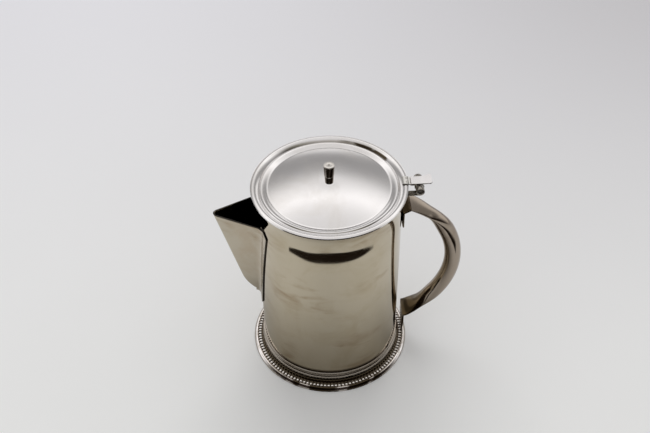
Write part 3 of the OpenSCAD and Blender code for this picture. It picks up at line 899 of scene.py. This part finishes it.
# ---------- hinge ----------

def barrel(name, r, y0, y1, hole, body, material, nodes=()):
    """Knuckle of the hinge, with a bored end and softly broken edges."""
    turn = Matrix.Translation(Vector((HINGE.x, y0, HINGE.z))) @ Matrix.Rotation(-math.pi / 2, 4, "X")
    length = y1 - y0
    edge, pit = BARREL_EDGE, BARREL_PIT
    profile = [(0, pit), (hole, pit), (hole, edge * 0.5), (hole + edge * 0.5, 0), (r - edge, 0),
               (r - edge * 0.3, edge * 0.3), (r, edge), (r, length - edge),
               (r - edge * 0.3, length - edge * 0.3), (r - edge, length), (hole + edge * 0.5, length),
               (hole, length - edge * 0.5), (hole, length - pit), (0, length - pit)]
    verts, faces = lathe(profile, 64, turn)
    return piece(name, verts, faces, body, material, nodes, sharp=35)


def build_bracket(material, lid_material):
    """The bracket's two knuckles with the strap's between them, and the bracket's leaf behind."""
    half = BARREL_LEN / 2
    slot_w = KNUCKLE_LEN / 2 + KNUCKLE_GAP
    barrel("hinge_knuckle_front", KNUCKLE_R, -half, -slot_w, PIN_R, "pot",
           material, ["hinge_bracket"])
    barrel("hinge_knuckle_back", KNUCKLE_R, slot_w, half, PIN_R, "pot", material)
    barrel("hinge_knuckle_lid", LID_KNUCKLE_R, -KNUCKLE_LEN / 2, KNUCKLE_LEN / 2, PIN_R, "lid",
           lid_material)

    leaf_z = HINGE.z - KNUCKLE_R
    clear = HINGE.x - LID_KNUCKLE_R - KNUCKLE_GAP
    path = [Vector((collar_r(z) + 0.02 * MM, z)) for z in spaced(leaf_z + LEAF_T - LEAF_H, leaf_z, 8)]
    path += rounded([(collar_r(leaf_z) + LEAF_T, leaf_z), (clear, leaf_z), (HINGE.x, leaf_z)], 0.4 * MM)
    for sign, name in ((-1, "hinge_leaf_front"), (1, "hinge_leaf_back")):
        verts, faces = strip_along(path, lambda x: half - slot_w, LEAF_T * 0.9)
        verts = [(x, y + sign * (half + slot_w) / 2, z) for x, y, z in verts]
        piece(name, verts, faces, "pot", material, sharp=35)


def build_strap(material, dot_material):
    """Patch on the lid's flange with its step up to the lever, and its two spot welds."""
    flange_top = LID_Z + FLANGE_H
    in_z = LID_Z + lid_face(math.hypot(STRAP_IN, LEVER_ROOT_W / 2))
    path = rounded([(STRAP_IN, in_z), (STRAP_BEND_X, flange_top), (STRAP_EDGE_X, flange_top),
                    (STRAP_STEP_X, STRAP_Z - LEAF_T), (STRAP_END_X, STRAP_Z - LEAF_T)], 0.5 * MM)
    verts, faces = strip_along(path, lambda x: LEVER_ROOT_W, LEAF_T)
    piece("lid_patch", verts, faces, "lid", material, ["lid_strap"], sharp=35)
    for side, name in ((-1, "weld_dot_left"), (1, "weld_dot_right")):
        turn = Matrix.Translation(Vector((WELD_X, side * WELD_PITCH / 2, flange_top + LEAF_T)))
        verts, faces = lathe([(r * MM, z * MM) for r, z in WELD_DOT], 32, turn)
        piece(name, verts, faces, "lid", dot_material, sharp=60)


def lever_width(x):
    """Width of the thumb lever, which grows from its bend to its tip and has cut corners."""
    if x < LEVER_BEND_X:
        return LEVER_ROOT_W
    t = (x - LEVER_BEND_X) / (LEVER_X - LEVER_CORNER - LEVER_BEND_X)
    if t <= 1:
        return LEVER_ROOT_W + (LEVER_TIP_W - LEVER_ROOT_W) * t
    return LEVER_TIP_W - 2 * (x - LEVER_X + LEVER_CORNER)


def build_lever(material):
    """Thumb lever, level over the barrel and then rising a little to its tip."""
    tip = (LEVER_X, STRAP_Z + LEVER_RISE)
    path = rounded([(STRAP_STEP_X, STRAP_Z), (LEVER_BEND_X, STRAP_Z), tip], 2 * MM)
    tip = path.pop()
    path += [path[-1].lerp(tip, t) for t in spaced(0, 1, 12)[1:]]
    verts, faces = strip_along(path, lever_width, LEVER_T)
    piece("lever_plate", verts, faces, "lid", material, ["thumb_lever"], sharp=35)


# ---------- lid and knob ----------

def lid_face(r):
    """Height of the lid's face at radius r: seat, dome, bead, groove and flange."""
    if r < SEAT_R:
        return DOME_H
    if r < DOME_R:
        return DOME_H * (1 - ((r - SEAT_R) / (DOME_R - SEAT_R)) ** 2)
    if r < GROOVE_R:
        t = (r - DOME_R) / (GROOVE_R - DOME_R)
        if t < BEAD_TOP:
            return (BEAD_H + GROOVE_RISE) * math.sin(math.pi / 2 * t / BEAD_TOP) ** 1.3
        return GROOVE_RISE + BEAD_H * (1 - ease((t - BEAD_TOP) / (1 - BEAD_TOP)))
    t = min(1, (r - GROOVE_R) / (LID_R - GROOVE_R))
    return GROOVE_RISE + (FLANGE_H - GROOVE_RISE) * math.sin(FLANGE_ARC * t)


def build_lid(material):
    """Pressed disc with its edge turned down."""
    radii = spaced(0, DOME_R, 40)[:-1] + spaced(DOME_R, GROOVE_R, 28)[:-1]
    radii += spaced(GROOVE_R, LID_R, 28)
    top = [(r, LID_Z + lid_face(r)) for r in radii]
    low = LID_Z + lid_face(LID_R) - LID_LIP_H
    inner = LID_R - LID_T
    under = [(min(r, inner), z - LID_T) for r, z in reversed(top)]
    verts, faces = lathe(top + [(LID_R, low), (inner, low)] + under, 480)
    piece("lid_disc", verts, faces, "lid", material, ["lid"], sharp=50)


def build_knob(material):
    """Turned knob: neck, head that widens upwards, and a pit in its top."""
    head_z = KNOB_TOP - KNOB_HEAD_H
    corners = [(KNOB_NECK_D / 2, KNOB_Z), (KNOB_NECK_D / 2 + KNOB_NECK_FLARE, head_z),
               (KNOB_LOW_D / 2 - KNOB_EDGE, head_z), (KNOB_LOW_D / 2, head_z + KNOB_EDGE),
               (KNOB_D / 2, KNOB_TOP - KNOB_EDGE), (KNOB_D / 2 - KNOB_EDGE, KNOB_TOP),
               (KNOB_PIT_R, KNOB_TOP), (0, KNOB_TOP - KNOB_PIT_H)]
    profile = [(p.x, p.y) for p in rounded(corners, 0.35 * MM)]
    verts, faces = lathe([(0, KNOB_Z)] + profile, 96)
    knob = piece("knob_turned", verts, faces, "lid", material, ["knob"], sharp=45)
    knob.visible_glossy = False


# ---------- studio ----------

def build_camera():
    """Camera at the photo's viewing angle."""
    data = bpy.data.cameras.new("photo_camera")
    data.sensor_width = 36
    data.lens = CAMERA_LENS
    data.clip_end = 100
    cam = bpy.data.objects.new("photo_camera", data)
    turn = Matrix.Rotation(-math.radians(CAMERA_TURN), 4, "Z")
    tilt = Matrix.Rotation(math.radians(90 - CAMERA_PITCH), 4, "X")
    roll = Matrix.Rotation(math.radians(CAMERA_ROLL), 4, "Z")
    cam.matrix_world = Matrix.Translation(Vector(CAMERA_POS)) @ turn @ tilt @ roll
    bpy.context.scene.collection.objects.link(cam)
    bpy.context.scene.camera = cam


def build_lamp():
    """Softbox over the back, which the steel doesn't mirror."""
    data = bpy.data.lights.new("softbox_back", "AREA")
    data.shape = "RECTANGLE"
    data.size, data.size_y = LAMP_SIZE
    data.energy = LAMP_POWER
    obj = bpy.data.objects.new("softbox_back", data)
    obj.location = LAMP_POS
    obj.rotation_euler = (Vector(LAMP_TARGET) - Vector(LAMP_POS)).to_track_quat("-Z", "Y").to_euler()
    obj.visible_glossy = False
    bpy.context.scene.collection.objects.link(obj)


def build_floor():
    """Plain floor, far wider than the view."""
    size = 6
    verts = [(-size, -size, 0), (size, -size, 0), (size, size, 0), (-size, size, 0)]
    mesh = bpy.data.meshes.new("floor")
    mesh.from_pydata(verts, [], [(0, 1, 2, 3)])
    mesh.materials.append(floor_material())
    floor = bpy.data.objects.new("floor", mesh)
    bpy.context.scene.collection.objects.link(floor)


def build_world():
    """The room as the polished steel mirrors it: a band of light behind, and dark in front."""
    world = bpy.data.worlds.new("studio")
    bpy.context.scene.world = world
    world.use_nodes = True
    tree = world.node_tree
    _, y, z = axes_of(tree, node(tree, "ShaderNodeTexCoord").outputs["Generated"])
    height = maths(tree, "MULTIPLY_ADD", z, 0.5, 0.5)
    behind = ramp(tree, height, [(-20, (0.9, 0.9, 0.9))] + [(e, grey(v)) for e, v in ROOM_BEHIND])
    ahead = ramp(tree, height, ROOM_AHEAD)
    room = blend(tree, smooth_step(tree, y, *ROOM_JOIN_Y), ahead, behind)
    path = node(tree, "ShaderNodeLightPath")
    seen = blend(tree, path.outputs["Is Glossy Ray"], ROOM_SOFT, room)
    seen = blend(tree, path.outputs["Is Camera Ray"], seen, BACKDROP)
    tree.links.new(seen, tree.nodes["Background"].inputs["Color"])
    tree.nodes["Background"].inputs["Strength"].default_value = 1


def grey(value):
    """Warm grey of a given level."""
    return (value, value * 0.982, value * 0.97)


def dress(name, material):
    """Gives a CAD node a material in place of its own."""
    made = frame["nodes"][name].data.materials
    made.clear()
    made.append(material)


# ---------- the scene ----------

build_camera()
build_floor()
build_world()
build_lamp()

# Wall: brown smudges, and a painted dark reflection of the foot ring's band low on the wall
wall_steel = steel("wall_steel", (0.54, 0.48, 0.37), (0.44, 0.37, 0.25), 0.03, wave=0.14,
                   smudge=(0.33, 0.245, 0.15), scratch=0.006, painted_dark_at=foot_painted_reflection)
ring_steel = steel("ring_steel", (0.50, 0.455, 0.40), (0.34, 0.27, 0.2), 0.06, wave=0.1)
# Flutes: painted shade in the cove and in the gaps between them; only the flute ends keep the pale tint
flute_steel = steel("flute_steel", (0.97, 0.94, 0.91), (0.6, 0.52, 0.43), 0.08, wave=0.1,
                    painted_dark_at=cove_painted_shade)
# Lip: pale tint, brighter than the band's, as painted highlight on its sides, and a painted dark
# reflection along its front
lip_steel = steel("lip_steel", (0.97, 0.93, 0.92), (0.42, 0.36, 0.26), 0.1, 0.6, 60, wave=0.4,
                  painted_dark_at=lip_painted_reflection)
fold_steel = steel("fold_steel", (0.50, 0.45, 0.36), (0.42, 0.33, 0.23), 0.08,
                   smudge=(0.30, 0.21, 0.12))
# Handle: tint darker than the wall's, as painted shade, and more painted shade where it meets the wall
darkened_handle_steel = steel("darkened_handle_steel", (0.36, 0.305, 0.25), (0.25, 0.18, 0.12), 0.10,
                     painted_dark_at=handle_end_painted_shade)
# Lid: painted dark reflection, broken, in its groove at the back
lid_steel = steel("lid_steel", (0.79, 0.775, 0.775), (0.70, 0.67, 0.64), 0.15, wave=0.12,
                  painted_dark_at=lid_painted_reflection)
strap_steel = steel("strap_steel", (0.74, 0.73, 0.70), (0.6, 0.56, 0.5), 0.16, wave=0.1)
# Hinge bracket: tint far darker than the other steel, as painted shade under the lid and lever
hinge_steel = steel("hinge_steel", (0.30, 0.28, 0.25), (0.2, 0.17, 0.14), 0.22, wave=0.1)
pin_steel = steel("pin_steel", (0.35, 0.33, 0.30), (0.22, 0.19, 0.16), 0.35, wave=0.1)
# Knob: painted dark reflection in upright streaks below its top
knob_steel = steel("knob_steel", (0.72, 0.69, 0.65), (0.5, 0.44, 0.36), 0.1, wave=0.05,
                   painted_dark_at=knob_painted_reflection)
# Near-black steel for cut edges and the flange's outline: dull edges, darkened further as painted shade
shaded_edge_steel = steel("shaded_edge_steel", (0.06, 0.055, 0.05), (0.03, 0.025, 0.02), 0.4, wave=0.1)
inner_steel = steel("inner_steel", (0.50, 0.49, 0.47), (0.36, 0.34, 0.3), 0.3, wave=0.1)

build_shell(wall_steel, shaded_edge_steel)
build_foot(ring_steel, flute_steel, lip_steel)
build_spout(fold_steel, fold_steel, shaded_edge_steel)
build_handle(darkened_handle_steel)
build_bracket(hinge_steel, strap_steel)
build_strap(strap_steel, pin_steel)
build_lever(lid_steel)
build_lid(lid_steel)
build_knob(knob_steel)
dress("hinge_pin", pin_steel)
for name in ("base_disc", "knob_washer", "knob_screw"):
    dress(name, inner_steel)
    frame["nodes"][name].visible_glossy = False

bpy.context.scene.view_settings.view_transform = "Standard"
